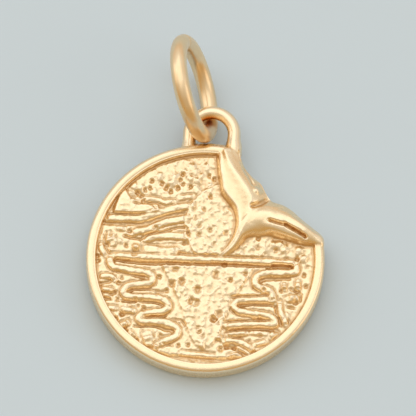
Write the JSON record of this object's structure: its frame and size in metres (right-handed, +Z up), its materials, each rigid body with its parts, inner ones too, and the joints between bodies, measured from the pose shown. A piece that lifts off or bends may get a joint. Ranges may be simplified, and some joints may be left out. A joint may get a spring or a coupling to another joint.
{
  "type": "whale tail disc charm",
  "caption": "Round cast metal charm with a whale's tail, sun, clouds and sea in relief, a cast loop at its top and a wire jump ring through the loop, lying face up.",
  "frame": {"origin": "on the surface that the charm lies on, under the middle of its whole box", "axes": "+Z up from the surface, +Y from the disc towards its loop and jump ring, +X to the right of the picture on its face"},
  "size_m": [0.0106, 0.0154, 0.0048],
  "materials": {
    "cast_gold": "cast in relief, gold plated, soft shine, darker in the hollows",
    "wire_gold": "drawn wire, gold plated, bright"
  },
  "bodies": {
    "root": {"medallion": "cast_gold", "jump_ring": "wire_gold"}
  },
  "joints": []
}
